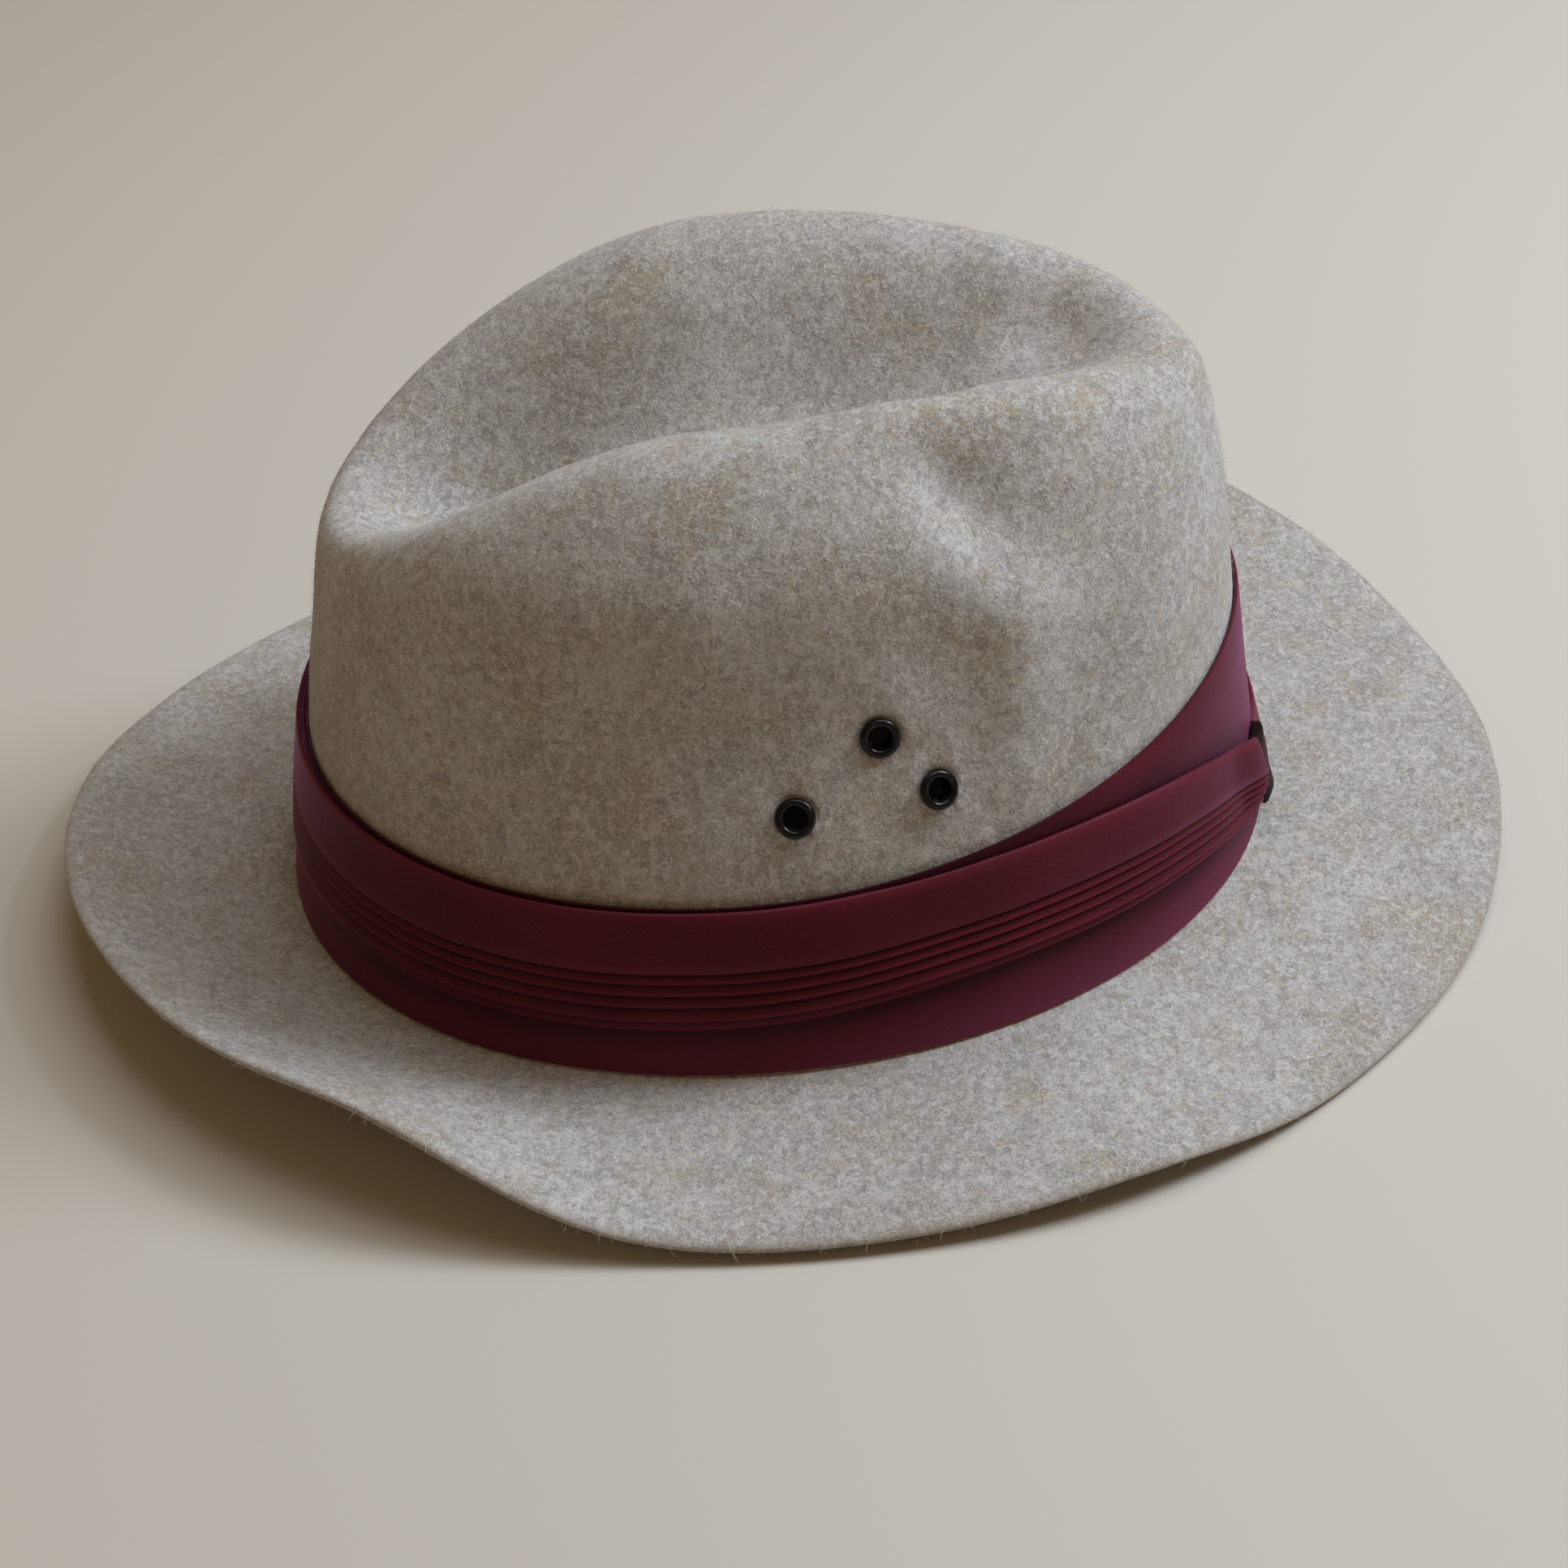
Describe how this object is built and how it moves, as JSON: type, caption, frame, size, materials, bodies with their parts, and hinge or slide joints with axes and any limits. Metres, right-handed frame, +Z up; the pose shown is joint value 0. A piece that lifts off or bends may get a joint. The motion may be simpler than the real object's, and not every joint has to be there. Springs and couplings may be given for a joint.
{
  "type": "fedora hat",
  "caption": "Soft wool-felt fedora with a teardrop centre crease, wavy snap brim, burgundy sateen band with a pleated sash, and black vent eyelets.",
  "frame": {"origin": "on the table under the middle of the hat's box, with the hat resting on its brim", "axes": "+Z up, the front of the hat faces -Y, the wearer's right is -X"},
  "size_m": [0.276, 0.3082, 0.127],
  "materials": {
    "oatmeal_felt": "heathered wool felt, matt, short loose fibres",
    "burgundy_sateen": "cotton sateen with a soft sheen",
    "dark_sateen": "very dark maroon sateen",
    "black_eyelet": "glossy black lacquer"
  },
  "bodies": {
    "root": {"felt_body": "oatmeal_felt", "hat_band": "burgundy_sateen", "pleated_sash": "burgundy_sateen", "sash_wrap": "dark_sateen", "eyelet_back": "black_eyelet", "eyelet_middle": "black_eyelet", "eyelet_front": "black_eyelet"}
  },
  "joints": []
}
